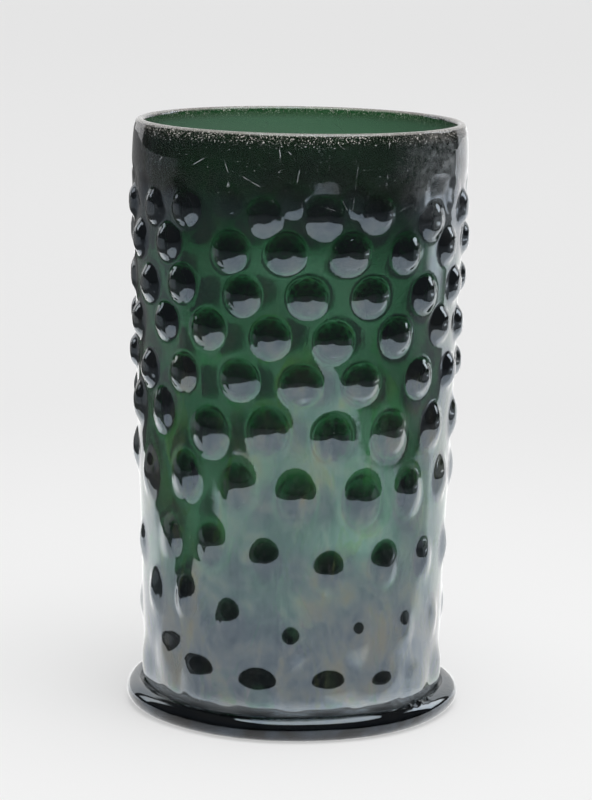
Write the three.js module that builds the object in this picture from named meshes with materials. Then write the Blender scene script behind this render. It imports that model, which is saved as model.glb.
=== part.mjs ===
// A mould-blown green glass beaker with staggered rows of round bosses, standing on a
// thick ring of glass that was trailed round its base.
// Units are millimetres, +Z is up, and the origin is the middle of the resting face.
import * as THREE from 'three';

// Overall sizes
const overallHeight = 200;
const rimOuterRadius = 55.1;
const shoulderOuterRadius = 56.3;
const shoulderDrop = 14;
const patternTopOuterRadius = 55.4;
const heelOuterRadius = 50.4;
const flareSharpness = 1.05;

// Wall thickness between the bosses: thick at the rim and low down, thin in between
const rimWall = 3;
const bellyWall = 1.1;
const lowWall = 3;
const thickFromBelowShoulder = 8;
const thinTopBelowShoulder = 32;
const thinBottomAboveHeel = 37.6;
const thickBelowThinBottom = 20;
const floorThickness = 4.2;

// Heel and the pushed-in base
const heelRadius = 5;
const standOff = 2.4;
const kickHeight = 12;
const innerHeelRadius = 6;

// Moulded pattern
const bossesPerRow = 16;
const bossHalfWidth = 5.9;
const bossHalfHeight = 5.8;
const bossRelief = 2.3;
// Softness of the fillet round each boss, as a share of its relief
const bossFillet = 0.25;
const topRowBelowShoulder = 7.5;
const bottomRowAboveFoot = 7.4;
const reliefFadeAboveFoot = 1.4;
// How much of its fall below the crest the lowest row keeps: it runs down into the ring.
const lowRowFall = 0.6;
// Relative spacing of the rows, from the bottom row up: the glass was drawn out low down.
const rowPitches = [18.5, 22.8, 25.5, 19, 17.3, 14.9, 13.9, 14.1, 11.4, 5.5];
// Share of the full relief that each row kept, from the bottom row up.
const rowReliefShares = [0.64, 0.5, 0.61, 0.76, 0.95, 1, 1, 1, 0.97, 0.85, 0.25];
// Width of the bosses in each row, from the bottom row up: they were drawn narrow low down.
const rowWidthShares = [1.35, 0.78, 0.9, 0.98, 1, 1, 1, 1, 1, 1, 1];
// Their height, and the power of their profile: above 2 they have flat tops and steep sides.
const rowHeightShares = [1.25, 1.25, 1.25, 1.35, 1.25, 1, 1, 1, 1, 1, 1];
const rowProfilePowers = [1.7, 1.6, 1.7, 2, 2.5, 3.2, 3.2, 3.2, 3.2, 3.2, 3.2];
const patternPhase = THREE.MathUtils.degToRad(-0.5);
const lowTwist = THREE.MathUtils.degToRad(5);
const topTwist = THREE.MathUtils.degToRad(5);
const topTwistSpan = 45;

// Applied foot ring: how far it stands out from the wall and reaches in under the heel,
// its height at the wall and the height of its widest place, below which it rolls under
const footProjection = 6.1;
const footUnderlap = 3.8;
const footHeight = 8.2;
const footWidestHeight = 4;
const footRollUnder = 4;

// Wad of glass left by the pontil iron under the kick
const wadRadius = 9;
const wadThickness = 1.8;

// Clearance between pieces that are fused on the real beaker
const fusedGap = 0.3;

// Fineness of the meshes
const patternColumns = 6 * bossesPerRow;
const plainColumns = 3 * bossesPerRow;
const patternStep = 4.7;
const ringColumns = 60;
const wadColumns = 24;
const insideSteps = 8;

const heelTop = standOff + heelRadius;
const heelCentreRadius = heelOuterRadius - heelRadius;
const shoulderHeight = overallHeight - shoulderDrop;
const patternTop = shoulderHeight - topRowBelowShoulder;
const patternBottom = footHeight + bottomRowAboveFoot;
const rimCentreHeight = overallHeight - rimWall / 2;
const rowCrests = crestHeights();

function crestHeights() {
  const total = rowPitches.reduce((sum, pitch) => sum + pitch, 0);
  const crests = [patternBottom];
  let travelled = 0;
  for (const pitch of rowPitches) {
    travelled += pitch;
    crests.push(patternBottom + (patternTop - patternBottom) * travelled / total);
  }
  return crests;
}

// Outer radius of the wall between the bosses at height z.
function wallRadius(z) {
  if (z > shoulderHeight) {
    const t = (z - shoulderHeight) / (overallHeight - shoulderHeight);
    return shoulderOuterRadius + (rimOuterRadius - shoulderOuterRadius) * t * t;
  }
  if (z > patternTop) {
    const t = (z - patternTop) / (shoulderHeight - patternTop);
    return patternTopOuterRadius + (shoulderOuterRadius - patternTopOuterRadius) * t;
  }
  const t = Math.max(0, z - heelTop) / (patternTop - heelTop);
  return heelOuterRadius + (patternTopOuterRadius - heelOuterRadius) * t ** flareSharpness;
}

// Wall thickness between the bosses at height z.
function wallThickness(z) {
  const thinTop = shoulderHeight - thinTopBelowShoulder;
  const thickFrom = shoulderHeight - thickFromBelowShoulder;
  const high = (rimWall - bellyWall) * THREE.MathUtils.smoothstep(z, thinTop, thickFrom);
  const thinBottom = heelTop + thinBottomAboveHeel;
  const thin = THREE.MathUtils.smoothstep(z, thinBottom - thickBelowThinBottom, thinBottom);
  return bellyWall + high + (lowWall - bellyWall) * (1 - thin);
}

// The pattern turns slowly with height, and more just under the plain band.
function twist(z) {
  const slow = patternPhase + lowTwist * z / overallHeight;
  return slow + topTwist * THREE.MathUtils.smoothstep(z, patternTop - topTwistSpan, patternTop);
}

// Height of the moulded relief at a place given in boss spacings round the wall.
function relief(spacings, z) {
  const spacing = 2 * Math.PI * wallRadius(z) / bossesPerRow;
  let highest = 0;
  rowCrests.forEach((crest, row) => {
    const shift = spacings - ((row + 1) % 2) / 2;
    const halfWidth = bossHalfWidth * rowWidthShares[row];
    const across = (shift - Math.round(shift)) * spacing / halfWidth;
    const fall = row === 0 && z < crest ? lowRowFall : 1;
    const along = fall * (z - crest) / (bossHalfHeight * rowHeightShares[row]);
    const cap = Math.max(-1, 1 - Math.hypot(across, along) ** rowProfilePowers[row]);
    const dome = bossFillet * Math.log1p(Math.exp(cap / bossFillet));
    highest = Math.max(highest, bossRelief * rowReliefShares[row] * dome);
  });
  return highest * THREE.MathUtils.smoothstep(z, footHeight, footHeight + reliefFadeAboveFoot);
}

// A ring of points round the Z axis. One column gives a single point on the axis.
function ring(radius, z, columns) {
  const turn = twist(z);
  const points = [];
  for (let column = 0; column < columns; column += 1) {
    const angle = turn + 2 * Math.PI * column / columns;
    points.push(new THREE.Vector3(radius * Math.cos(angle), radius * Math.sin(angle), z));
  }
  return points;
}

// A ring round the patterned wall, pushed out where it crosses a boss.
function patternRing(z) {
  const points = ring(1, z, patternColumns);
  points.forEach((point, column) => {
    const spacings = column * bossesPerRow / patternColumns;
    const radius = wallRadius(z) + relief(spacings, z);
    point.set(point.x * radius, point.y * radius, z);
  });
  return points;
}

// Joins two neighbouring rings, which may have different numbers of points.
function joinRings(triangles, low, high) {
  let i = 0;
  let j = 0;
  while (i < low.count || j < high.count) {
    const stepLow = (i + 1) / low.count <= (j + 1) / high.count;
    const a = low.start + i % low.count;
    const b = high.start + j % high.count;
    if (stepLow) {
      i += 1;
      if (low.count > 1) triangles.push(a, low.start + i % low.count, b);
    } else {
      j += 1;
      if (high.count > 1) triangles.push(a, high.start + j % high.count, b);
    }
  }
}

// A closed skin over rings listed upward outside and downward inside.
function skin(rings, closesOnItself) {
  const positions = [];
  const spans = [];
  for (const points of rings) {
    spans.push({ start: positions.length / 3, count: points.length });
    points.forEach((point) => positions.push(point.x, point.y, point.z));
  }
  const triangles = [];
  for (let k = 1; k < spans.length; k += 1) {
    joinRings(triangles, spans[k - 1], spans[k]);
  }
  if (closesOnItself) joinRings(triangles, spans[spans.length - 1], spans[0]);
  const geometry = new THREE.BufferGeometry();
  geometry.setAttribute('position', new THREE.Float32BufferAttribute(positions, 3));
  geometry.setIndex(triangles);
  geometry.computeVertexNormals();
  return geometry;
}

// Points of an arc in the radius and height plane, ends included.
function arc(centre, halfWidth, halfHeight, fromDegrees, toDegrees, steps) {
  const points = [];
  for (let k = 0; k <= steps; k += 1) {
    const angle = THREE.MathUtils.degToRad(fromDegrees + (toDegrees - fromDegrees) * k / steps);
    points.push([centre[0] + halfWidth * Math.cos(angle), centre[1] + halfHeight * Math.sin(angle)]);
  }
  return points;
}

// Height of the pushed-in underside at a distance from the axis.
function kickUnderside(radius) {
  const t = Math.min(1, radius / heelCentreRadius);
  return standOff + kickHeight * (0.5 + 0.5 * Math.cos(Math.PI * t));
}

// Heights of the rings on the patterned wall: each row has one on its crests.
function patternHeights() {
  const stops = [heelTop, ...rowCrests, shoulderHeight];
  const heights = [heelTop];
  for (let k = 1; k < stops.length; k += 1) {
    const steps = Math.max(2, Math.round((stops[k] - stops[k - 1]) / patternStep));
    for (let step = 1; step <= steps; step += 1) {
      heights.push(stops[k - 1] + (stops[k] - stops[k - 1]) * step / steps);
    }
  }
  return heights;
}

function undersideRings() {
  const rings = [ring(0, kickUnderside(0), 1)];
  for (const share of [0.15, 0.35, 0.55, 0.75, 0.9]) {
    const radius = heelCentreRadius * share;
    rings.push(ring(radius, kickUnderside(radius), plainColumns));
  }
  for (const [radius, z] of arc([heelCentreRadius, heelTop], heelRadius, heelRadius, -90, -22.5, 3)) {
    rings.push(ring(radius, z, plainColumns));
  }
  return rings;
}

// The plain band above the pattern and the fire-polished rim, over to the inside.
function rimRings() {
  const bandMiddle = (shoulderHeight + rimCentreHeight) / 2;
  const centre = [rimOuterRadius - rimWall / 2, rimCentreHeight];
  const crown = arc(centre, rimWall / 2, rimWall / 2, 0, 180, 6);
  return [[wallRadius(bandMiddle), bandMiddle], ...crown]
    .map(([radius, z]) => ring(radius, z, plainColumns));
}

function insideRings() {
  const rings = [];
  const innerHeelTop = standOff + floorThickness + innerHeelRadius;
  const innerHeelWall = wallRadius(innerHeelTop) - wallThickness(innerHeelTop);
  for (let step = 0; step < insideSteps; step += 1) {
    const z = shoulderHeight + (innerHeelTop - shoulderHeight) * step / insideSteps;
    rings.push(ring(wallRadius(z) - wallThickness(z), z, plainColumns));
  }
  const centre = [innerHeelWall - innerHeelRadius, innerHeelTop];
  for (const [radius, z] of arc(centre, innerHeelRadius, innerHeelRadius, 0, -80, 3)) {
    rings.push(ring(radius, z, plainColumns));
  }
  for (const share of [0.75, 0.55, 0.35, 0.15]) {
    const radius = heelCentreRadius * share;
    rings.push(ring(radius, kickUnderside(radius) + floorThickness, plainColumns));
  }
  rings.push(ring(0, kickUnderside(0) + floorThickness, 1));
  return rings;
}

function mouldedBody() {
  const outside = patternHeights().map((z) => patternRing(z));
  return skin([...undersideRings(), ...outside, ...rimRings(), ...insideRings()], false);
}

// The ring has a flat resting face and a seat that follows the heel of the body.
function footRing() {
  const innerRadius = heelOuterRadius - footUnderlap;
  const outerRadius = heelOuterRadius + footProjection;
  const wallSide = wallRadius(footHeight) + fusedGap;
  const rollCentre = [outerRadius - footRollUnder, footWidestHeight];
  const rollUnder = arc(rollCentre, footRollUnder, footWidestHeight, -90, -15, 4);
  const shoulderRise = footHeight - footWidestHeight;
  const shoulder = arc([wallSide, footWidestHeight], outerRadius - wallSide, shoulderRise, 0, 90, 5);
  const seatRadius = heelRadius + fusedGap;
  const seatStart = THREE.MathUtils.radToDeg(Math.asin(Math.min(0, (footHeight - heelTop) / seatRadius)));
  const seatEnd = -THREE.MathUtils.radToDeg(Math.acos((innerRadius - heelCentreRadius) / seatRadius));
  const seat = arc([heelCentreRadius, heelTop], seatRadius, seatRadius, seatStart, seatEnd, 4);
  return skin([[innerRadius, 0], ...rollUnder, ...shoulder, ...seat]
    .map(([radius, z]) => ring(radius, z, ringColumns)), true);
}

// The wad hugs the underside of the kick and ends in a rough, shallow dimple.
function pontilWad() {
  const rings = [ring(0, kickUnderside(0) - fusedGap - wadThickness * 0.7, 1)];
  for (const [share, depth] of [[0.4, 0.85], [0.75, 1], [0.95, 0.6], [1, 0.3]]) {
    const radius = wadRadius * share;
    rings.push(ring(radius, kickUnderside(radius) - fusedGap - wadThickness * depth, wadColumns));
  }
  for (const share of [1, 0.6, 0.3]) {
    const radius = wadRadius * share;
    rings.push(ring(radius, kickUnderside(radius) - fusedGap, wadColumns));
  }
  rings.push(ring(0, kickUnderside(0) - fusedGap, 1));
  return skin(rings, false);
}

function piece(name, geometry, colour) {
  const material = new THREE.MeshStandardMaterial({ color: colour, roughness: 0.08, metalness: 0 });
  const mesh = new THREE.Mesh(geometry, material);
  mesh.name = name;
  return mesh;
}

const beaker = new THREE.Group();
beaker.add(
  piece('moulded_body', mouldedBody(), 0x1d4a2e),
  piece('foot_ring', footRing(), 0x14281d),
  piece('pontil_wad', pontilWad(), 0x1a3324),
);

export default beaker;
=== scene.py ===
"""Blender scene of a mould-blown green glass beaker with staggered rows of bosses.

Units are metres, +Z is up, and the origin is the middle of the resting face.
"""
import math

import bpy
import numpy as np
from mathutils import Matrix, Vector


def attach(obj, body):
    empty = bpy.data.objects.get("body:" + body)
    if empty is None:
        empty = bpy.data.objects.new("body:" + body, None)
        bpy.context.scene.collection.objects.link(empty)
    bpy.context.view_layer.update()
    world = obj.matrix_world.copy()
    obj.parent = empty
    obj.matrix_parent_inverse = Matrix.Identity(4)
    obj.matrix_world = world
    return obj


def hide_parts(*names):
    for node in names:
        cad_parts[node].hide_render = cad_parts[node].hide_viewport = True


# Overall sizes, the same as the CAD source's
HEIGHT = 0.200
RIM_RADIUS = 0.0551
SHOULDER_RADIUS = 0.0563
SHOULDER_HEIGHT = 0.186
PATTERN_TOP_RADIUS = 0.0554
PATTERN_TOP = 0.1785
HEEL_RADIUS = 0.0504
# Power by which the wall widens above the heel
FLARE_SHARPNESS = 1.05

# Wall: thin from THIN_BOTTOM to THIN_TOP, full above THICK_FROM and below THICK_BELOW
RIM_WALL = 0.0030
BELLY_WALL = 0.0011
LOW_WALL = 0.003
THIN_TOP = 0.154
THICK_FROM = 0.178
THIN_BOTTOM = 0.045
THICK_BELOW = 0.025
FLOOR_THICKNESS = 0.0042

# Heel and pushed-in base
HEEL_ROUND = 0.005
STAND_OFF = 0.0024
KICK_HEIGHT = 0.012
INNER_HEEL_ROUND = 0.006
HEEL_TOP = STAND_OFF + HEEL_ROUND
HEEL_CENTRE_RADIUS = HEEL_RADIUS - HEEL_ROUND

# Moulded pattern
BOSSES_PER_ROW = 16
BOSS_HALF_WIDTH = 0.0059
BOSS_HALF_HEIGHT = 0.0058
BOSS_RELIEF = 0.0023
# Softness of the fillet round each boss, as a share of its relief
BOSS_FILLET = 0.25
ROW_CRESTS = (
    0.0156, 0.0341, 0.0569, 0.0824, 0.1014, 0.1187, 0.1336, 0.1475, 0.1616, 0.1730, 0.1785,
)
ROW_RELIEF = (0.64, 0.5, 0.61, 0.76, 0.95, 1.0, 1.0, 1.0, 0.97, 0.85, 0.25)
# Width of the bosses in each row, as a share of the full one: narrow where drawn out
ROW_WIDTH = (1.35, 0.78, 0.9, 0.98, 1.0, 1.0, 1.0, 1.0, 1.0, 1.0, 1.0)
# Their height, and the power of their profile: above 2, flat tops and steep sides
ROW_TALL = (1.25, 1.25, 1.25, 1.35, 1.25, 1.0, 1.0, 1.0, 1.0, 1.0, 1.0)
ROW_POWER = (1.7, 1.6, 1.7, 2.0, 2.5, 3.2, 3.2, 3.2, 3.2, 3.2, 3.2)
PATTERN_PHASE = math.radians(-0.5)
LOW_TWIST = math.radians(5)
TOP_TWIST = math.radians(5)
TOP_TWIST_SPAN = 0.045
# Share of a boss's relief that the inside follows; below 0 it bulges into the cup
INSIDE_DENT = -0.38
# Heights between which the relief fades out towards the foot ring
RELIEF_FADE = (0.0078, 0.0096)
# The lowest row runs down into the ring: share of its own fall below the crest
LOW_ROW_FALL = 0.6
# Hand work: how far single bosses stray in angle, height, relief and width
STRAY_ANGLE = math.radians(0.6)
STRAY_HEIGHT = 0.0004
STRAY_RELIEF = 0.1
STRAY_WIDTH = 0.05
# Single bosses that the blowing moved: row, boss counted from +X, degrees, mm up, relief
NUDGES = (
    (0, 9, 1.5, 7, 1.0), (0, 10, -3.5, 2, 1.2), (0, 11, -1.5, 0, 1.3), (0, 12, 3.5, -0.5, 1.1),
    (0, 13, 3, -2, 0.9), (0, 14, 1.5, -1, 0.6), (1, 9, 4, 9, 1.5), (1, 10, 1.5, 9.5, 2.2),
    (1, 11, -2, 4, 1.7), (1, 12, -0.5, -4, 1.2), (1, 13, 2, -2, 1.0), (1, 14, 1.5, -0.5, 1.1),
    (2, 9, 4, 6.5, 1.0), (2, 10, 2, 6, 1.3), (2, 11, 0.5, 2, 1.2), (2, 12, 0.5, -2, 1.2),
    (2, 13, 1, 0, 1.2), (2, 14, 0.5, -0.5, 1.1), (3, 8, 0, 5.5, 1.2), (3, 10, 0, 3.5, 1.2),
    (3, 11, 0.5, 1.5, 1.0), (3, 12, 0, -2, 1.0), (3, 13, 1.5, -2.5, 1.0), (3, 14, 0, -2.5, 1.1),
    (4, 7, 0, 5, 1.0), (4, 8, 0, 4, 1.1), (4, 9, -1, 4.5, 1.0), (4, 10, 0, 0.5, 1.0),
    (4, 11, 0.5, 2, 1.0), (4, 12, 0.5, 0, 1.0), (4, 13, 0, -0.5, 1.0), (5, 8, 0, 3, 1.1),
    (5, 10, -1.5, 1.5, 1.0), (5, 11, -0.5, 1, 1.0), (5, 12, -1, 0, 1.0), (5, 13, -1, 0, 1.0),
    (5, 14, 1, 0, 1.0), (6, 9, 0.5, 2, 1.0), (6, 10, -2, 2, 1.0), (6, 11, -1, 0.5, 1.0),
    (6, 12, -1, 0, 1.0), (6, 13, 1, 0, 1.0), (6, 14, 2, 1.5, 1.0), (7, 8, 0, 0, 0.6),
    (7, 10, -3, 1.5, 1.0), (7, 11, -1, 0, 1.0), (7, 12, -1, 0.5, 1.0), (7, 13, -1, 0, 1.0),
    (7, 14, 0, -1, 1.0), (8, 7, 0, 0, 0.6), (8, 9, -1.5, 0.5, 1.0), (8, 10, 3, -0.5, 1.0),
    (8, 11, 0, 0.5, 1.0), (8, 12, -0.5, 0, 1.0), (8, 13, -0.5, -0.5, 1.0), (9, 10, -5, 1.5, 1.0),
    (9, 11, 2.5, 0, 1.0), (9, 13, -3.5, 1, 1.0), (9, 14, -1.5, -3, 1.0),
)

# The blown body is a little out of true: it leans and is oval above these heights
SWAY = 0.0003
SWAY_START = (0.01, 0.03)
OUT_OF_ROUND = 0.00025
OVAL_TURN = 0.6
OVAL_START = (0.01, 0.06)
# Slow swells: size, number, waves round the axis (from, below), radians a metre upwards
SWELLS = 0.00016
SWELL_COUNT = 14
SWELLS_AROUND = (1, 7)
SWELLS_UP = 160
SWELL_START = (HEEL_TOP, 0.02)
SWELL_END = (0.188, 0.197)
INSIDE_SWELL_TURN = 0.7

# Applied foot ring, with arcs in degrees: 0 points outwards and 90 up
RING_OUTER = HEEL_RADIUS + 0.0061
RING_INNER = HEEL_RADIUS - 0.0038
RING_HEIGHT = 0.0082
RING_WIDEST = 0.004
RING_ROLL = 0.004
RING_ROLL_ARC = (-90, -9)
RING_CROWN_ARC = (0, 90)
RING_SEAT_START = -3
RING_GAP = 0.0003
# Shallow groove where the trail meets the wall, and its points in shares of both sizes
RING_DIP = 0.0007
RING_DIP_WIDTH = 0.0016
RING_GROOVE = ((0.6, 0.4), (0.3, 1.0), (0.0, 0.9))
# The soft trail sagged outwards by this much beyond the CAD's round section
RING_SPREAD = 0.0005
# Its unevenness: height, number round the ring and phase of each wave
RING_WOBBLE = ((0.0003, 3, 0.4), (0.0002, 7, 1.9))
RING_LIFT = ((0.00015, 5, 2.2),)
RING_LIFT_START = (0.001, 0.006)
# The pucker where its ends join, and how far out from the wall its folds reach
PUCKER_ANGLE = math.radians(-36)
PUCKER_HALF_SPAN = math.radians(9)
PUCKER = 0.0004
PUCKER_REACH = (0.002, 0.005)
PUCKER_FOLDS = 58
PUCKER_FINE_FOLDS = 91
PUCKER_FINE_SHARE = 0.8
PUCKER_SLANT = 4000

# Pontil wad, with a jagged edge and a torn face
WAD_RADIUS = 0.009
WAD_THICKNESS = 0.0018
WAD_JAG = 0.0006
WAD_JAG_WAVES = ((1.0, 5, 0.0), (0.6, 11, 1.0), (0.4, 17, 0.0))
WAD_TORN = 0.00022
# Shares of the thickness and of the tearing that its middle has
WAD_MIDDLE = 0.75
WAD_TORN_MIDDLE = 0.3

# Fineness of the meshes, with arcs in degrees as in the ring
BODY_COLUMNS = 320
WALL_STEP = 0.00106
UNDERSIDE_RINGS = 12
UNDERSIDE_SHARES = (0.06, 0.94)
HEEL_ARC = (-90, -10)
HEEL_STEPS = 8
RIM_CLEARANCE = 0.0005
RIM_STEPS = 14
INSIDE_START = 0.003
INSIDE_RINGS = 74
CORNER_ARC = (-12, -84)
CORNER_STEPS = 6
CUP_FLOOR_RINGS = 10
CUP_FLOOR_SHARES = (0.8, 0.06)
RING_COLUMNS = 480
RING_ROLL_STEPS = 9
RING_CROWN_STEPS = 14
RING_SEAT_STEPS = 7
WAD_COLUMNS = 72
WAD_RINGS = 8
WAD_FIRST_RING = 0.12

# Glass: how it refracts, its colour and how strongly it absorbs
GLASS_IOR = 1.5
GLASS_COLOUR = (0.143, 0.5, 0.271)
GLASS_DENSITY = 1640.0
# Surface of each piece: weathered film in nanometres, roughness, and ripple in metres
FILM_IOR = 1.95
BODY_SURFACE = ((38, 55), (0.0, 0.01), 0.00001)
RING_SURFACE = ((42, 62), (0.02, 0.05), 0.00002)
SCAR_SURFACE = ((20, 60), (0.12, 0.3), 0.0001)
WISP_FILM = 24.0
WISP_FILM_TOP = (0.115, 0.155)
WISP_FILM_ABOVE = 0.3
GRAIN_FILM = 4.0
# Share of the film that handling left on the foot's underside, and where it ends upwards
FOOT_FILM = 0.4
FOOT_FILM_TOP = (0.0045, 0.0065)
# Share of the film that the band under the rim has
BAND_FILM = 0.45
BAND_FILM_START = (PATTERN_TOP - 0.009, PATTERN_TOP + 0.004)
# Height of the drawn-out streaks on the inside, in ripples of the outside
REAM = 7.0

# Wear: how dull and white the skin is, and the heights between which each kind sets in
WORN_BAND = (PATTERN_TOP - 0.014, PATTERN_TOP + 0.012)
WORN_RIM = (0.1935, 0.1985)
# The crown's whitening is partly wear and partly a painted highlight that widens the rim's
# bright line
CROWN = (0.1989, 0.1996)
CROWN_WEAR_AND_HIGHLIGHT = 0.3
BAND_VEIL = 0.010
HAZE = 0.24
HAZE_SPOT = (0.047, -0.030, 0.188)
HAZE_REACH = 0.028
# Painted sheen: whitening in the corner above the foot ring, where the wall's reflection is
# dark, fading out upwards
PAINTED_CORNER_SHEEN = 0.26
CORNER_REACH = (0.0095, 0.0135)
# The veil inside the cup, and the greener one near its top
INSIDE_VEIL = 0.14
TOP_VEIL = 0.21
TOP_VEIL_START = (0.155, 0.17)
TOP_VEIL_COLOUR = (0.7, 1.0, 0.84)
# Specks stand where the dust passes a limit, which is lower where they are dense
SPECK_LIMIT = 0.855
RIM_SPECKS = 0.13
BAND_SPECKS = 0.045
GROUPED_SPECKS = 0.13
SPECK_EDGE = 0.03
SPECK_WHITE = 0.6
SCRATCH_SCALE = 75.0
SCRATCH_WIDTH = 0.012
SCRATCH_WHITE = 0.4
# Deposit: its colours, how much of it the wisps and the fine dust add low down, and how
# strong a wisp is when it has its full tint
DEPOSIT = (0.88, 0.95, 1.0)
# The rim's cream tints its specks and also the painted highlight on the crown
RIM_DEPOSIT_AND_HIGHLIGHT = (1.0, 0.96, 0.9)
RIM_DEPOSIT_START = (0.1945, 0.1985)
BLOOM_GREEN = (0.45, 0.95, 0.6)
BLOOM_YELLOW = (0.8, 0.9, 0.45)
BLOOM_TOP = (0.09, 0.14)
BLOOM = 0.035
BLOOM_TINTED = 0.3
FINE_BLOOM = 0.02

# Patterns: scale per metre, detail, roughness, distortion, and where they set in and are full
CLOUDS = (230.0, 6.0, 0.75, 0.0, 0.35, 0.75)
SCRATCH_PATCHES = (232.5, 2.0, 0.55, 0.0, 0.56, 0.66)
FILM_PATCHES = (45.0, 4.0, 0.6, 1.5, 0.35, 0.7)
FILM_WISPS = (48.0, 5.0, 0.6, 1.8, 0.45, 0.68)
FILM_GRAIN = (700.0, 3.0, 0.7, 0.0, 0.3, 0.7)
BLOOM_WISPS = (62.0, 6.0, 0.62, 1.6, 0.5, 0.7)
BLOOM_HUES = (40.0, 2.0, 0.55, 0.0, 0.45, 0.6)
BLOOM_DUST = (900.0, 4.0, 0.7, 0.0, 0.4, 0.75)
ROUGH_PATCHES = (320.0, 3.0, 0.6, 0.0, 0.4, 0.75)
# Patterns that are used as they come
DUST = (2100.0, 1.0, 0.5, 0.0)
SPECK_GROUPS = (70.0, 3.0, 0.6, 0.0)
REAM_STREAKS = (420.0, 3.0, 0.6, 0.0)
RIPPLES = (260.0, 2.0, 0.5, 0.4)
# How far patterns are drawn out upwards: 0.5 makes them twice as tall as wide
SCRATCHES_DRAWN = 0.7
FILM_DRAWN = 0.45
BLOOM_DRAWN = 0.4
REAM_DRAWN = 0.35

# Studio floor, seen pale all round
FLOOR_SIZE = 12.0
FLOOR_NEAR = 0.87
FLOOR_FAR = 0.79
FLOOR_FADE = (0.2, 4.0)
# Share of the floor that camera, mirrored and refracted rays see evenly lit, near to far
EVEN_SHARE = 0.5
EVEN_REACH = (0.05, 0.62)
EVEN_LEVELS = (0.93, 0.75)
# Edges of the pale sheet in the mirror images: left, right (slanted) and front (slanted)
SHEET_LEFT = (-0.295, -0.27)
SHEET_RIGHT = (0.38, 0.41)
SHEET_RIGHT_SLANT = -0.27
SHEET_FRONT = (-0.52, -0.47)
SHEET_FRONT_SLANT = 0.6
# Far behind on the right it goes on beyond this slanted line
FAR_RIGHT = (-0.152, -0.112)
FAR_RIGHT_SLANT = -0.9
# A dark gap of painted shade in the sheet's left edge, pointing at the object
GAP_TIP = (-0.145, -0.031)
GAP_SPREAD = 0.53
GAP_EDGE = 0.008
# A glowing card, painted light that only the mirror images show: lowest and highest x, then y
CARD_X = (0.76, 1.08)
CARD_Y = (0.20, 0.44)
CARD_BLUR = 0.09
CARD_GLOW = 1.5
# Beside and behind the object the mirror images show a painted glow on the sheet: its front edge
# runs y = start + slope |x - centre|
APRON_START = -0.10
APRON_SLOPE = 0.75
APRON_CENTRE = 0.03
APRON_EDGE = (-0.02, 0.03)
APRON_GLOW = 0.6
# Painted shade round the sheet, which only the mirror images show, near to far
DARK_FLOOR = 0.13
DARK_ROOM = 0.05
DARK_REACH = (0.4, 2.5)
# The painted shade is lighter on either side of the object: |x|, then y, and how light
SIDE_START = (0.35, 0.55)
SIDE_FRONT = (-0.2, 0.05)
SIDE_FLOOR = 0.32

# Room: bearings in radians from straight behind, heights as the sine of the elevation
AMBIENT = 0.4
BACKDROP = 0.86
BACKDROP_HALF_ANGLE = math.radians(43)
BACKDROP_TOP = (0.55, 0.65)
BEARING_BLUR = 0.02
HORIZON_TOP = (0.12, 0.3)
# Windows: first and last bearing and brightness, and the heights of all
WINDOWS = (
    (math.radians(48), math.radians(66), 2.4),
    (math.radians(-64), math.radians(-50), 1.3),
)
WINDOW_FOOT = (0.12, 0.2)
WINDOW_TOP = (0.6, 0.7)

# Lamps: strength and direction
LAMP_ANGLE = math.radians(58)
OVERHEAD = (1.3, (-0.14, 0.04, -1.0))
FRONT_FILL = (0.85, (-0.3, 0.6, -1.0))

# Camera, fitted to the photograph's frame, 592 pixels wide and 800 high
FRAME_HEIGHT = 800
SENSOR = 36.0
FOCAL_PIXELS = 2995.0
EYE = Vector((0.0, -1.0027, 0.2863))
AIM = Vector((0.0, 0.0, 0.1045))
ROLL = 0.01767
NEAREST = 0.05
FARTHEST = 60.0

# How often light may pass on through the glass
BOUNCES = 20
GLOSSY_BOUNCES = 12
VOLUME_BOUNCES = 2

rng = np.random.default_rng(16)


def smoothstep(x, low, high):
    t = np.clip((x - low) / (high - low), 0.0, 1.0)
    return t * t * (3 - 2 * t)


def waves(angle, rows):
    """Sum of sine waves round the axis: height, number and phase of each."""
    return sum(height * np.sin(count * angle + phase) for height, count, phase in rows)


def wall_radius(z):
    """Outer radius of the wall between the bosses at height z."""
    z = np.asarray(z, dtype=float)
    above = (z - SHOULDER_HEIGHT) / (HEIGHT - SHOULDER_HEIGHT)
    rim = SHOULDER_RADIUS + (RIM_RADIUS - SHOULDER_RADIUS) * above**2
    between = (z - PATTERN_TOP) / (SHOULDER_HEIGHT - PATTERN_TOP)
    band = PATTERN_TOP_RADIUS + (SHOULDER_RADIUS - PATTERN_TOP_RADIUS) * between
    t = np.maximum(0, z - HEEL_TOP) / (PATTERN_TOP - HEEL_TOP)
    low = HEEL_RADIUS + (PATTERN_TOP_RADIUS - HEEL_RADIUS) * t**FLARE_SHARPNESS
    return np.where(z > SHOULDER_HEIGHT, rim, np.where(z > PATTERN_TOP, band, low))


def wall_thickness(z):
    z = np.asarray(z, dtype=float)
    high = (RIM_WALL - BELLY_WALL) * smoothstep(z, THIN_TOP, THICK_FROM)
    low = (LOW_WALL - BELLY_WALL) * (1 - smoothstep(z, THICK_BELOW, THIN_BOTTOM))
    return BELLY_WALL + high + low


def twist(z):
    """Angle by which the pattern has turned at height z."""
    slow = PATTERN_PHASE + LOW_TWIST * z / HEIGHT
    return slow + TOP_TWIST * smoothstep(z, PATTERN_TOP - TOP_TWIST_SPAN, PATTERN_TOP)


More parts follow.
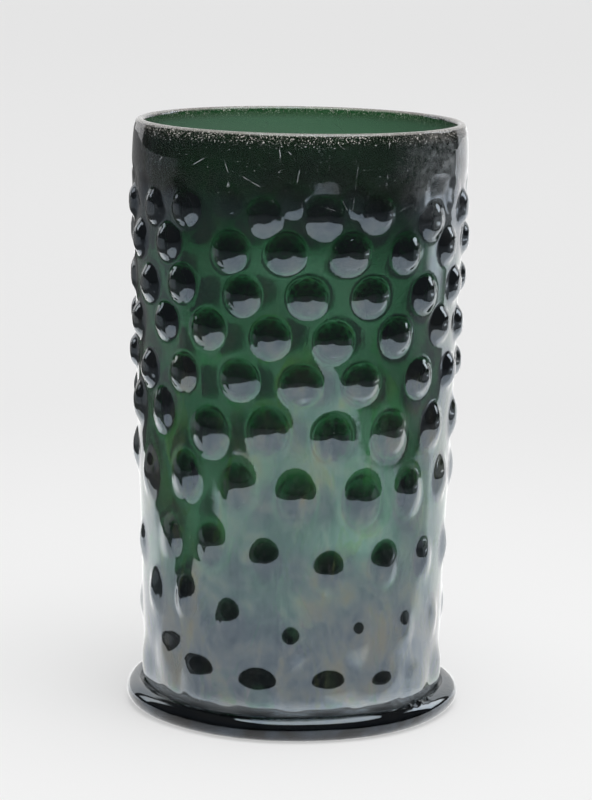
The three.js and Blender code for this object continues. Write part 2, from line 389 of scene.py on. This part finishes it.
def boss_list():
    """Angle, height, relief, half sizes, lower fall and power of every boss, each astray."""
    nudges = {(row, k): nudge for row, k, *nudge in NUDGES}
    bosses = []
    for row, crest in enumerate(ROW_CRESTS):
        shift = ((row + 1) % 2) / 2
        for k in range(BOSSES_PER_ROW):
            turn, up, bulge, wide = rng.uniform(-1, 1, 4)
            degrees, rise, share = nudges.get((row, k), (0, 0, 1))
            angle = twist(crest) + 2 * math.pi * (k + shift) / BOSSES_PER_ROW
            bosses.append((
                angle + STRAY_ANGLE * turn + math.radians(degrees),
                crest + STRAY_HEIGHT * up + rise / 1000,
                BOSS_RELIEF * ROW_RELIEF[row] * (1 + STRAY_RELIEF * bulge) * share,
                (1 + STRAY_WIDTH * wide) * ROW_WIDTH[row] * BOSS_HALF_WIDTH,
                ROW_TALL[row] * BOSS_HALF_HEIGHT,
                LOW_ROW_FALL if row == 0 else 1.0,
                ROW_POWER[row],
            ))
    return bosses


BOSSES = boss_list()
SWELL_WAVES = [
    (int(rng.integers(*SWELLS_AROUND)), rng.uniform(-SWELLS_UP, SWELLS_UP),
     rng.uniform(0, 2 * math.pi))
    for _ in range(SWELL_COUNT)
]


def relief(angle, z):
    """Height of the moulded pattern over arrays of angle and height."""
    highest = np.zeros_like(z)
    radius = wall_radius(z)
    for boss_angle, crest, rise, half_width, half_height, fall, power in BOSSES:
        turn = (angle - boss_angle + math.pi) % (2 * math.pi) - math.pi
        across = turn * radius / half_width
        along = (z - crest) / half_height
        along = np.where(along < 0, along * fall, along)
        above = np.clip(1 - (across**2 + along**2)**(power / 2), -1.0, 1.0)
        dome = BOSS_FILLET * np.log1p(np.exp(above / BOSS_FILLET))
        highest = np.maximum(highest, rise * dome)
    return highest * smoothstep(z, *RELIEF_FADE)


def swells(angle, z):
    """Slow unevenness that blowing and turning by hand leave in the wall."""
    total = np.zeros_like(z)
    for around, up, phase in SWELL_WAVES:
        total += np.sin(around * angle + up * z + phase)
    fade = smoothstep(z, *SWELL_START) * (1 - smoothstep(z, *SWELL_END))
    return SWELLS * total / math.sqrt(len(SWELL_WAVES)) * fade


def ring_points(angle, radius, z):
    return np.stack([radius * np.cos(angle), radius * np.sin(angle), z], axis=-1)


def out_of_true(angle, radius, z):
    """Points of the body's ring, made oval and shifted by the lean of the whole body."""
    share = radius / HEEL_RADIUS
    oval = OUT_OF_ROUND * share * np.cos(2 * angle + OVAL_TURN) * smoothstep(z, *OVAL_START)
    points = ring_points(angle, radius + oval, z)
    lean = -SWAY * np.sin(math.pi * np.clip(z / HEIGHT, 0, 1)) * smoothstep(z, *SWAY_START)
    points[..., 0] += lean
    return points


def arc(centre, half_width, half_height, start, stop, steps):
    """Points of an arc in the radius and height plane, ends included, in degrees."""
    angles = np.radians(np.linspace(start, stop, steps + 1))
    return [
        (centre[0] + half_width * math.cos(a), centre[1] + half_height * math.sin(a))
        for a in angles
    ]


def kick_underside(radius):
    """Height of the pushed-in base's underside at this radius."""
    t = np.minimum(1, radius / HEEL_CENTRE_RADIUS)
    return STAND_OFF + KICK_HEIGHT * (0.5 + 0.5 * np.cos(math.pi * t))


def add_object(name, data):
    made = bpy.data.objects.new(name, data)
    bpy.context.scene.collection.objects.link(made)
    return made


def revolve(name, rings, tips=None):
    """A smooth closed mesh over rings of points, capped at the two tips on the axis.

    Without tips the last ring joins the first.
    """
    count, columns = rings.shape[:2]
    points = rings.reshape(-1, 3).tolist()
    faces = []
    for k in range(count - 1 if tips else count):
        low = k * columns
        high = ((k + 1) % count) * columns
        for c in range(columns):
            d = (c + 1) % columns
            faces.append((low + c, low + d, high + d, high + c))
    if tips:
        first = len(points)
        points.extend(tips)
        last_row = (count - 1) * columns
        for c in range(columns):
            d = (c + 1) % columns
            faces.append((first, d, c))
            faces.append((first + 1, last_row + c, last_row + d))
    mesh = bpy.data.meshes.new(name)
    mesh.from_pydata(points, [], faces)
    mesh.validate()
    for polygon in mesh.polygons:
        polygon.use_smooth = True
    mesh.update()
    return add_object(name, mesh)


def mark_outside(piece, outside_points):
    """Stores 1 on the outside skin and 0 inside, for the weathered film."""
    marks = np.zeros(len(piece.data.vertices))
    marks[:outside_points] = 1.0
    attribute = piece.data.attributes.new("outside", "FLOAT", "POINT")
    attribute.data.foreach_set("value", marks)


def body_angles(z):
    """Angles of the mesh columns at height z: they follow the pattern's twist."""
    return twist(np.asarray(z)) + 2 * math.pi * np.arange(BODY_COLUMNS) / BODY_COLUMNS


def plain_ring(radius, z):
    heights = np.full(BODY_COLUMNS, float(z))
    return out_of_true(body_angles(z), np.full(BODY_COLUMNS, float(radius)), heights)


def wall_ring(z):
    """A ring of the moulded outside at height z."""
    angle = body_angles(z)
    heights = np.full(BODY_COLUMNS, float(z))
    radius = wall_radius(heights) + relief(angle, heights) + swells(angle, heights)
    return out_of_true(angle, radius, heights)


def inside_ring(z):
    """A ring of the inner wall at height z, with a bulge behind each boss."""
    angle = body_angles(z)
    heights = np.full(BODY_COLUMNS, float(z))
    radius = wall_radius(heights) - wall_thickness(heights)
    radius += INSIDE_DENT * relief(angle, heights)
    radius += swells(angle + INSIDE_SWELL_TURN, heights)
    return out_of_true(angle, radius, heights)


def outside_rings():
    """From the middle of the underside round the heel, up the wall and over the rim."""
    rings = []
    for share in np.linspace(*UNDERSIDE_SHARES, UNDERSIDE_RINGS):
        radius = HEEL_CENTRE_RADIUS * share
        rings.append(plain_ring(radius, kick_underside(radius)))
    heel = (HEEL_CENTRE_RADIUS, HEEL_TOP)
    for radius, z in arc(heel, HEEL_ROUND, HEEL_ROUND, *HEEL_ARC, HEEL_STEPS):
        rings.append(plain_ring(radius, z))
    half_rim = RIM_WALL / 2
    for z in np.arange(HEEL_TOP, HEIGHT - half_rim - RIM_CLEARANCE, WALL_STEP):
        rings.append(wall_ring(z))
    crown = (RIM_RADIUS - half_rim, HEIGHT - half_rim)
    for radius, z in arc(crown, half_rim, half_rim, 0, 180, RIM_STEPS):
        rings.append(plain_ring(radius, z))
    return rings


def inside_rings():
    """From under the rim down the inner wall to the middle of the cup's floor."""
    start = HEIGHT - RIM_WALL / 2 - INSIDE_START
    corner_top = STAND_OFF + FLOOR_THICKNESS + INNER_HEEL_ROUND
    rings = [inside_ring(z) for z in np.linspace(start, corner_top, INSIDE_RINGS)]
    inner_wall = float(wall_radius(corner_top) - wall_thickness(corner_top))
    centre = (inner_wall - INNER_HEEL_ROUND, corner_top)
    corner = arc(centre, INNER_HEEL_ROUND, INNER_HEEL_ROUND, *CORNER_ARC, CORNER_STEPS)
    for radius, z in corner:
        rings.append(plain_ring(radius, z))
    for share in np.linspace(*CUP_FLOOR_SHARES, CUP_FLOOR_RINGS):
        radius = HEEL_CENTRE_RADIUS * share
        rings.append(plain_ring(radius, kick_underside(radius) + FLOOR_THICKNESS))
    return rings


def glass_body():
    outside = outside_rings()
    middle = kick_underside(0)
    tips = ((0, 0, middle), (0, 0, middle + FLOOR_THICKNESS))
    body = revolve("glass_body", np.array(outside + inside_rings()), tips)
    mark_outside(body, len(outside) * BODY_COLUMNS)
    return body


def pucker(angle, radius):
    """Crinkles of the seam where the two ends of the trail were pressed together."""
    near = np.clip(1 - ((angle - 2 * math.pi - PUCKER_ANGLE) / PUCKER_HALF_SPAN)**2, 0, 1)
    inner = 1 - smoothstep(radius - HEEL_RADIUS, *PUCKER_REACH)
    fine = np.sin(PUCKER_FINE_FOLDS * angle + PUCKER_SLANT * radius)
    folds = np.sin(PUCKER_FOLDS * angle) + PUCKER_FINE_SHARE * fine
    return PUCKER * near * inner * folds


def ring_section():
    """The ring's section, from its inner foot outwards, over the top and down the seat."""
    wall_side = float(wall_radius(RING_HEIGHT)) + RING_GAP
    roll = (RING_OUTER - RING_ROLL, RING_WIDEST)
    section = [(RING_INNER, 0.0)]
    section += arc(roll, RING_ROLL, RING_WIDEST, *RING_ROLL_ARC, RING_ROLL_STEPS)
    crown = (wall_side + RING_DIP_WIDTH, RING_WIDEST)
    rise = RING_HEIGHT - RING_WIDEST
    section += arc(crown, RING_OUTER - crown[0], rise, *RING_CROWN_ARC, RING_CROWN_STEPS)
    for across, down in RING_GROOVE:
        section.append((wall_side + across * RING_DIP_WIDTH, RING_HEIGHT - down * RING_DIP))
    heel = (HEEL_CENTRE_RADIUS, HEEL_TOP)
    seat = HEEL_ROUND + RING_GAP
    seat_end = -math.degrees(math.acos((RING_INNER - HEEL_CENTRE_RADIUS) / seat))
    section += arc(heel, seat, seat, RING_SEAT_START, seat_end, RING_SEAT_STEPS)
    return section


def foot_trail():
    """The trailed ring: flat where it rests, with a seat that follows the heel."""
    angle = 2 * math.pi * np.arange(RING_COLUMNS) / RING_COLUMNS
    rings = []
    for radius, z in ring_section():
        out = np.clip((radius - HEEL_RADIUS) / (RING_OUTER - HEEL_RADIUS), 0, 1)
        spread = (waves(angle, RING_WOBBLE) + RING_SPREAD) * out
        lift = waves(angle, RING_LIFT) + pucker(angle, radius)
        lift = lift * smoothstep(z, *RING_LIFT_START)
        rings.append(ring_points(angle, radius + spread, z + lift))
    return revolve("foot_trail", np.array(rings))


def pontil_scar():
    """The wad of glass: torn below, and above it follows the pushed-in base."""
    shares = np.linspace(WAD_FIRST_RING, 1, WAD_RINGS)
    angle = 2 * math.pi * np.arange(WAD_COLUMNS) / WAD_COLUMNS
    jag = WAD_JAG * (waves(angle, WAD_JAG_WAVES) - 1)
    rings = []
    for share in shares:
        radius = WAD_RADIUS * share
        depth = WAD_THICKNESS * (WAD_MIDDLE + (1 - WAD_MIDDLE) * share)
        torn = rng.uniform(-WAD_TORN, WAD_TORN, WAD_COLUMNS)
        torn = torn * (WAD_TORN_MIDDLE + (1 - WAD_TORN_MIDDLE) * share)
        z = kick_underside(radius) - RING_GAP - depth + torn
        rings.append(ring_points(angle, radius + jag * share**2, z))
    for share in shares[::-1]:
        radius = WAD_RADIUS * share + jag * share**2
        rings.append(ring_points(angle, radius, kick_underside(radius) - RING_GAP))
    seat = kick_underside(0) - RING_GAP
    tips = ((0, 0, seat - WAD_THICKNESS * WAD_MIDDLE), (0, 0, seat))
    return revolve("pontil_scar", np.array(rings), tips)


def new_material(name):
    material = bpy.data.materials.new(name)
    material.use_nodes = True
    material.node_tree.nodes.clear()
    return material, material.node_tree


def feed(tree, value, socket):
    """Links the value to the socket, or sets it there when it is a number or colour."""
    if isinstance(value, bpy.types.NodeSocket):
        tree.links.new(value, socket)
    else:
        socket.default_value = value


def math_node(tree, operation, a, b=None, clamp=False):
    node = tree.nodes.new("ShaderNodeMath")
    node.operation = operation
    node.use_clamp = clamp
    feed(tree, a, node.inputs[0])
    if b is not None:
        feed(tree, b, node.inputs[1])
    return node.outputs[0]


def product(tree, first, *others):
    for other in others:
        first = math_node(tree, "MULTIPLY", first, other)
    return first


def total(tree, first, *others):
    for other in others:
        first = math_node(tree, "ADD", first, other)
    return first


def less(tree, first, *others):
    """The first value with the others taken away."""
    for other in others:
        first = math_node(tree, "SUBTRACT", first, other)
    return first


def larger(tree, first, *others):
    for other in others:
        first = math_node(tree, "MAXIMUM", first, other)
    return first


def ramp(tree, value, low, high, out_low=0.0, out_high=1.0):
    """Smooth change from out_low to out_high where the value goes from low to high."""
    node = tree.nodes.new("ShaderNodeMapRange")
    node.interpolation_type = "SMOOTHSTEP"
    tree.links.new(value, node.inputs["Value"])
    node.inputs["From Min"].default_value = low
    node.inputs["From Max"].default_value = high
    node.inputs["To Min"].default_value = out_low
    node.inputs["To Max"].default_value = out_high
    return node.outputs["Result"]


def within(tree, value, low, high, blur):
    """1 between the two limits, 0 outside them."""
    above = ramp(tree, value, low - blur, low + blur)
    below = ramp(tree, value, high - blur, high + blur, 1.0, 0.0)
    return product(tree, above, below)


def split(tree, place):
    """The x, y and z of a place."""
    node = tree.nodes.new("ShaderNodeSeparateXYZ")
    tree.links.new(place, node.inputs[0])
    return node.outputs


def mix_colour(tree, share, first, second):
    """The first colour where the share is 0 and the second where it is 1.

    The node's colour sockets are its inputs 6 and 7 and its output 2.
    """
    node = tree.nodes.new("ShaderNodeMix")
    node.data_type = "RGBA"
    tree.links.new(share, node.inputs["Factor"])
    feed(tree, first, node.inputs[6])
    feed(tree, second, node.inputs[7])
    return node.outputs[2]


def opaque(colour):
    return (*colour, 1)


def noise(tree, place, pattern):
    """Noise with the pattern's scale, detail, roughness and distortion."""
    node = tree.nodes.new("ShaderNodeTexNoise")
    tree.links.new(place, node.inputs["Vector"])
    for name, value in zip(("Scale", "Detail", "Roughness", "Distortion"), pattern):
        node.inputs[name].default_value = value
    return node.outputs[0]


def patches(tree, place, pattern, out_low=0.0, out_high=1.0):
    """Patches of the pattern, from out_low beside them to out_high inside."""
    sets_in, full = pattern[4:]
    return ramp(tree, noise(tree, place, pattern), sets_in, full, out_low, out_high)


def stretched(tree, place, up):
    """The place, scaled in height, for drawn-out patterns."""
    node = tree.nodes.new("ShaderNodeMapping")
    tree.links.new(place, node.inputs["Vector"])
    node.inputs["Scale"].default_value = (1.0, 1.0, up)
    return node.outputs[0]


def near_point(tree, place, point, reach):
    """1 at the point, falling to 0 at the reach."""
    node = tree.nodes.new("ShaderNodeVectorMath")
    node.operation = "DISTANCE"
    tree.links.new(place, node.inputs[0])
    node.inputs[1].default_value = point
    return ramp(tree, node.outputs["Value"], 0.0, reach, 1.0, 0.0)


def scratches(tree, place):
    """Fine lines: the borders of large cells, kept only in patches."""
    drawn = stretched(tree, place, SCRATCHES_DRAWN)
    cells = tree.nodes.new("ShaderNodeTexVoronoi")
    cells.feature = "DISTANCE_TO_EDGE"
    tree.links.new(drawn, cells.inputs["Vector"])
    cells.inputs["Scale"].default_value = SCRATCH_SCALE
    line = ramp(tree, cells.outputs["Distance"], 0.0, SCRATCH_WIDTH, 1.0, 0.0)
    return product(tree, line, patches(tree, drawn, SCRATCH_PATCHES), SCRATCH_WHITE)


def specks(tree, place, band, rim):
    """White specks in groups: a few everywhere, more in the band and most at the rim."""
    limit = less(
        tree, SPECK_LIMIT,
        product(tree, rim, RIM_SPECKS),
        product(tree, band, BAND_SPECKS),
        product(tree, noise(tree, place, SPECK_GROUPS), GROUPED_SPECKS),
    )
    above = less(tree, noise(tree, place, DUST), limit)
    return ramp(tree, above, 0.0, SPECK_EDGE, 0.0, SPECK_WHITE)


def haze_and_painted_sheen(tree, place, height, band):
    """A cloudy spot on the right, a faint veil over the band and a painted sheen above the ring.
    """
    near = near_point(tree, place, HAZE_SPOT, HAZE_REACH)
    spot = product(tree, near, patches(tree, place, CLOUDS), HAZE)
    # Painted sheen above the ring, strongest at the bottom
    corner = ramp(tree, height, *CORNER_REACH, PAINTED_CORNER_SHEEN, 0.0)
    return total(tree, spot, product(tree, band, BAND_VEIL), corner)


def wear_and_painted_sheen(tree, place, mark):
    """Share of the skin that is dull and white: haze, specks, scratches and the worn rim, with a
    painted sheen above the ring and a partly painted highlight on the crown.
    """
    height = split(tree, place)[2]
    band = ramp(tree, height, *WORN_BAND)
    rim = ramp(tree, height, *WORN_RIM)
    marks = larger(
        tree, specks(tree, place, band, rim),
        product(tree, scratches(tree, place), band),
        haze_and_painted_sheen(tree, place, height, band),
        # Partly wear, partly a painted highlight along the rim's crown
        ramp(tree, height, *CROWN, 0.0, CROWN_WEAR_AND_HIGHLIGHT),
    )
    veil = ramp(tree, height, *TOP_VEIL_START, INSIDE_VEIL, TOP_VEIL)
    veil = product(tree, less(tree, 1.0, mark), veil)
    return math_node(tree, "ADD", product(tree, marks, mark), veil, clamp=True)


def weathered_film(tree, place, limits):
    """Thickness of the body's skin in nanometres, with thicker drawn-out wisps low down."""
    height = split(tree, place)[2]
    drawn = stretched(tree, place, FILM_DRAWN)
    wisps = patches(tree, drawn, FILM_WISPS, 0.0, WISP_FILM)
    low = ramp(tree, height, *WISP_FILM_TOP, 1.0, WISP_FILM_ABOVE)
    film = total(
        tree, patches(tree, place, FILM_PATCHES, *limits),
        product(tree, wisps, low),
        patches(tree, drawn, FILM_GRAIN, -GRAIN_FILM, GRAIN_FILM),
    )
    return product(tree, film, ramp(tree, height, *BAND_FILM_START, 1.0, BAND_FILM))


def worn_film(tree, place, limits):
    """Thickness of the skin in nanometres, thinner where the foot was handled."""
    height = split(tree, place)[2]
    kept = ramp(tree, height, *FOOT_FILM_TOP, FOOT_FILM, 1.0)
    return product(tree, patches(tree, place, FILM_PATCHES, *limits), kept)


def bloom(tree, place, mark):
    """Colour of the deposit, cream at the rim where it also tints the painted highlight, and the
    dull share that its drawn-out wisps add low down.
    """
    height = split(tree, place)[2]
    low = product(tree, ramp(tree, height, *BLOOM_TOP, 1.0, 0.0),
                  ramp(tree, height, *CORNER_REACH))
    drawn = stretched(tree, place, BLOOM_DRAWN)
    wisps = product(tree, patches(tree, drawn, BLOOM_WISPS), low)
    tint = mix_colour(tree, patches(tree, drawn, BLOOM_HUES),
                      opaque(BLOOM_GREEN), opaque(BLOOM_YELLOW))
    colour = mix_colour(tree, ramp(tree, wisps, 0.0, BLOOM_TINTED), opaque(DEPOSIT), tint)
    # Cream at the rim, partly deposit and partly the tint of the painted highlight
    colour = mix_colour(tree, ramp(tree, height, *RIM_DEPOSIT_START), colour,
                        opaque(RIM_DEPOSIT_AND_HIGHLIGHT))
    inside_top = product(tree, ramp(tree, height, *TOP_VEIL_START), less(tree, 1.0, mark))
    colour = mix_colour(tree, inside_top, colour, opaque(TOP_VEIL_COLOUR))
    fine = product(tree, patches(tree, drawn, BLOOM_DUST, 0.0, FINE_BLOOM), low)
    return colour, total(tree, product(tree, wisps, BLOOM), fine)


def dull_skin(tree, place, mark, shader):
    """Whitens the body's skin where it is worn or carries a deposit, and where a sheen and a
    highlight are painted.
    """
    colour, deposit = bloom(tree, place, mark)
    tree.links.new(colour, shader.inputs["Base Color"])
    dull = math_node(tree, "ADD", wear_and_painted_sheen(tree, place, mark), deposit, clamp=True)
    clear = math_node(tree, "SUBTRACT", 1.0, dull, clamp=True)
    tree.links.new(clear, shader.inputs["Transmission Weight"])


def glass(name, film, rough, ripple, is_body=False):
    """Green glass: absorbing inside, with a thin weathered film on its skin."""
    material, tree = new_material(name)
    out = tree.nodes.new("ShaderNodeOutputMaterial")
    shader = tree.nodes.new("ShaderNodeBsdfPrincipled")
    tree.links.new(shader.outputs[0], out.inputs["Surface"])
    shader.inputs["Base Color"].default_value = (1, 1, 1, 1)
    shader.inputs["Transmission Weight"].default_value = 1.0
    shader.inputs["IOR"].default_value = GLASS_IOR
    shader.inputs["Thin Film IOR"].default_value = FILM_IOR
    volume = tree.nodes.new("ShaderNodeVolumeAbsorption")
    volume.inputs["Color"].default_value = opaque(GLASS_COLOUR)
    volume.inputs["Density"].default_value = GLASS_DENSITY
    tree.links.new(volume.outputs[0], out.inputs["Volume"])
    place = tree.nodes.new("ShaderNodeTexCoord").outputs["Object"]
    uneven = noise(tree, place, RIPPLES)
    if is_body:
        attribute = tree.nodes.new("ShaderNodeAttribute")
        attribute.attribute_name = "outside"
        mark = attribute.outputs["Fac"]
        skin = product(tree, weathered_film(tree, place, film), mark)
        dull_skin(tree, place, mark, shader)
        streaks = noise(tree, stretched(tree, place, REAM_DRAWN), REAM_STREAKS)
        streaks = product(tree, streaks, less(tree, 1.0, mark), REAM)
        uneven = total(tree, uneven, streaks)
    else:
        skin = worn_film(tree, place, film)
    tree.links.new(skin, shader.inputs["Thin Film Thickness"])
    tree.links.new(patches(tree, place, ROUGH_PATCHES, *rough), shader.inputs["Roughness"])
    bump = tree.nodes.new("ShaderNodeBump")
    bump.inputs["Strength"].default_value = 1.0
    bump.inputs["Distance"].default_value = ripple
    tree.links.new(uneven, bump.inputs["Height"])
    tree.links.new(bump.outputs[0], shader.inputs["Normal"])
    return material


def reflection_only(tree):
    """1 for glossy rays that some surface reflected, 0 for camera, refracted and scattered."""
    path = tree.nodes.new("ShaderNodeLightPath").outputs
    bounced = math_node(tree, "MINIMUM", path["Glossy Depth"], 1.0)
    return math_node(tree, "MULTIPLY", path["Is Glossy Ray"], bounced, clamp=True)


def slanted(tree, a, b, slope):
    """a + slope * b, which is constant along a slanted line."""
    return total(tree, a, product(tree, b, slope))


def sheet_shape(tree, x, y):
    """1 on the pale sheet, 0 on the painted shade round it."""
    left = ramp(tree, x, *SHEET_LEFT)
    right = ramp(tree, slanted(tree, x, y, SHEET_RIGHT_SLANT), *SHEET_RIGHT, 1.0, 0.0)
    far_right = ramp(tree, slanted(tree, y, x, FAR_RIGHT_SLANT), *FAR_RIGHT)
    front = ramp(tree, slanted(tree, y, x, SHEET_FRONT_SLANT), *SHEET_FRONT)
    reach = product(tree, less(tree, GAP_TIP[0], x), GAP_SPREAD)
    off = math_node(tree, "ABSOLUTE", less(tree, y, GAP_TIP[1]))
    gap = ramp(tree, less(tree, reach, off), 0.0, GAP_EDGE, 1.0, 0.0)
    return product(tree, left, larger(tree, right, far_right), front, gap)


def apron_shape(tree, x, y, sheet):
    """1 where the mirror images show a painted glow on the sheet, beside and behind the object.
    """
    aside = math_node(tree, "ABSOLUTE", less(tree, x, APRON_CENTRE))
    edge = total(tree, product(tree, aside, APRON_SLOPE), APRON_START)
    return product(tree, ramp(tree, less(tree, y, edge), *APRON_EDGE), sheet)


def mirrored_painted_shade(tree, x, y, distance):
    """How light the painted shade round the sheet is in the mirror images."""
    dark = ramp(tree, distance, *DARK_REACH, DARK_FLOOR, DARK_ROOM)
    aside = ramp(tree, math_node(tree, "ABSOLUTE", x), *SIDE_START)
    return larger(tree, dark, product(tree, aside, ramp(tree, y, *SIDE_FRONT), SIDE_FLOOR))


# A painted glow on the floor that only the mirror images show, as a highlight on the glass
def painted_glow_card(tree, x, y):
    across = within(tree, x, *CARD_X, CARD_BLUR)
    along = within(tree, y, *CARD_Y, CARD_BLUR)
    return product(tree, across, along, CARD_GLOW)


def evened_share(tree):
    """Share of the floor's look that is even light, for rays that show it as background."""
    path = tree.nodes.new("ShaderNodeLightPath").outputs
    looked = total(tree, path["Is Camera Ray"], path["Is Transmission Ray"])
    looked = math_node(tree, "ADD", looked, path["Is Glossy Ray"], clamp=True)
    return product(tree, looked, EVEN_SHARE)


def floor_material():
    """Pale all round; only the mirror images show painted shade round a pale sheet, and painted
    glows on it.
    """
    material, tree = new_material("pale_floor")
    place = tree.nodes.new("ShaderNodeTexCoord").outputs["Object"]
    x, y, _ = split(tree, place)
    length = tree.nodes.new("ShaderNodeVectorMath")
    length.operation = "LENGTH"
    tree.links.new(place, length.inputs[0])
    distance = length.outputs["Value"]
    sheet = sheet_shape(tree, x, y)
    apron = apron_shape(tree, x, y, sheet)
    light = larger(tree, sheet, mirrored_painted_shade(tree, x, y, distance))
    mirror = reflection_only(tree)
    # Painted shade: mirror images see the floor darkened away from the sheet
    lit = less(tree, 1.0, product(tree, mirror, less(tree, 1.0, light)))
    evened = evened_share(tree)
    pale = ramp(tree, distance, *FLOOR_FADE, FLOOR_NEAR, FLOOR_FAR)
    colour = product(tree, pale, lit, less(tree, 1.0, evened))
    even = product(tree, ramp(tree, distance, *EVEN_REACH, *EVEN_LEVELS), lit, evened)
    # Painted glows, which only mirrored rays see
    painted_glow = total(tree, product(tree, apron, APRON_GLOW), painted_glow_card(tree, x, y))
    strength = total(tree, product(tree, painted_glow, mirror), even)
    out = tree.nodes.new("ShaderNodeOutputMaterial")
    shader = tree.nodes.new("ShaderNodeBsdfDiffuse")
    tree.links.new(colour, shader.inputs["Color"])
    glow = tree.nodes.new("ShaderNodeEmission")
    glow.inputs["Color"].default_value = (1, 1, 1, 1)
    tree.links.new(strength, glow.inputs["Strength"])
    both = tree.nodes.new("ShaderNodeAddShader")
    tree.links.new(shader.outputs[0], both.inputs[0])
    tree.links.new(glow.outputs[0], both.inputs[1])
    tree.links.new(both.outputs[0], out.inputs["Surface"])
    return material


def make_floor():
    half = FLOOR_SIZE / 2
    corners = [(-half, -half, 0), (half, -half, 0), (half, half, 0), (-half, half, 0)]
    mesh = bpy.data.meshes.new("floor")
    mesh.from_pydata(corners, [], [(0, 1, 2, 3)])
    floor = add_object("floor", mesh)
    floor.data.materials.append(floor_material())


def room_mirrored(tree, turn, z, sweep):
    """The room in the mirror images: dark, with the sweep behind and two windows."""
    heights = product(tree, ramp(tree, z, *WINDOW_FOOT), ramp(tree, z, *WINDOW_TOP, 1.0, 0.0))
    room = total(tree, product(tree, sweep, BACKDROP - DARK_ROOM), DARK_ROOM)
    for start, stop, strength in WINDOWS:
        bearings = within(tree, turn, start, stop, BEARING_BLUR)
        room = total(tree, room, product(tree, bearings, heights, strength))
    return room


def room_through(tree, z, sweep):
    """The room through the glass: a pale horizon all round and dark above it."""
    horizon = ramp(tree, z, *HORIZON_TOP, 1.0, 0.0)
    pale = product(tree, larger(tree, sweep, horizon), FLOOR_FAR - DARK_ROOM)
    return total(tree, pale, DARK_ROOM)


def make_world():
    world = bpy.data.worlds.new("studio")
    bpy.context.scene.world = world
    world.use_nodes = True
    tree = world.node_tree
    tree.nodes.clear()
    out = tree.nodes.new("ShaderNodeOutputWorld")
    background = tree.nodes.new("ShaderNodeBackground")
    background.inputs["Color"].default_value = (1, 1, 1, 1)
    tree.links.new(background.outputs[0], out.inputs["Surface"])
    x, y, z = split(tree, tree.nodes.new("ShaderNodeTexCoord").outputs["Generated"])
    turn = math_node(tree, "ARCTAN2", x, y)
    # The white sweep fills only the part of the room behind the object
    half = BACKDROP_HALF_ANGLE
    behind = ramp(tree, math_node(tree, "ABSOLUTE", turn), half - BEARING_BLUR,
                  half + BEARING_BLUR, 1.0, 0.0)
    sweep = product(tree, behind, ramp(tree, z, *BACKDROP_TOP, 1.0, 0.0))
    path = tree.nodes.new("ShaderNodeLightPath").outputs
    camera = path["Is Camera Ray"]
    mirror = reflection_only(tree)
    refracted = product(tree, path["Is Transmission Ray"], less(tree, 1.0, mirror))
    others = less(tree, 1.0, camera, refracted)
    others = math_node(tree, "SUBTRACT", others, mirror, clamp=True)
    strength = total(
        tree, product(tree, camera, FLOOR_FAR),
        product(tree, refracted, room_through(tree, z, sweep)),
        product(tree, mirror, room_mirrored(tree, turn, z, sweep)),
        product(tree, others, AMBIENT),
    )
    tree.links.new(strength, background.inputs["Strength"])


def make_lamp(name, strength, towards, mirrored):
    """A wide soft lamp; mirrored tells whether shiny surfaces show it."""
    light = bpy.data.lights.new(name, "SUN")
    light.energy = strength
    light.angle = LAMP_ANGLE
    lamp = add_object(name, light)
    lamp.rotation_euler = Vector(towards).to_track_quat("-Z", "Y").to_euler()
    lamp.visible_glossy = mirrored


def make_camera():
    data = bpy.data.cameras.new("camera")
    camera = add_object("camera", data)
    data.sensor_width = SENSOR
    data.lens = FOCAL_PIXELS * SENSOR / FRAME_HEIGHT
    data.clip_start = NEAREST
    data.clip_end = FARTHEST
    forward = (AIM - EYE).normalized()
    right = forward.cross(Vector((0, 0, 1))).normalized()
    up = right.cross(forward)
    rolled_right = math.cos(ROLL) * right + math.sin(ROLL) * up
    rolled_up = math.cos(ROLL) * up - math.sin(ROLL) * right
    turn = Matrix((rolled_right, rolled_up, -forward)).transposed()
    camera.location = EYE
    camera.rotation_mode = "QUATERNION"
    camera.rotation_quaternion = turn.to_quaternion()
    bpy.context.scene.camera = camera


def place_piece(piece, node, material):
    piece.data.materials.append(material)
    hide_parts(node)
    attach(piece, "root")


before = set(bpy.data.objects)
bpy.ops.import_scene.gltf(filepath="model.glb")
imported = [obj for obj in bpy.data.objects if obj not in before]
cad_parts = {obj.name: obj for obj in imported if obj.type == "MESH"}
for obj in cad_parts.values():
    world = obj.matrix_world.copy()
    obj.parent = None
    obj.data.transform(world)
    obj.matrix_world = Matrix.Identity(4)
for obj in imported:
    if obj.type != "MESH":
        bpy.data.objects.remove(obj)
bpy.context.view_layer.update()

scene = bpy.context.scene
scene.view_settings.view_transform = "Standard"
scene.cycles.max_bounces = BOUNCES
scene.cycles.transmission_bounces = BOUNCES
scene.cycles.glossy_bounces = GLOSSY_BOUNCES
scene.cycles.volume_bounces = VOLUME_BOUNCES

make_camera()
make_world()
make_lamp("overhead", *OVERHEAD, mirrored=True)
make_lamp("front_fill", *FRONT_FILL, mirrored=False)
make_floor()

body_glass = glass("blown_glass", *BODY_SURFACE, is_body=True)
ring_glass = glass("trailed_glass", *RING_SURFACE)
scar_glass = glass("torn_glass", *SCAR_SURFACE)

place_piece(glass_body(), "moulded_body", body_glass)
place_piece(foot_trail(), "foot_ring", ring_glass)
place_piece(pontil_scar(), "pontil_wad", scar_glass)
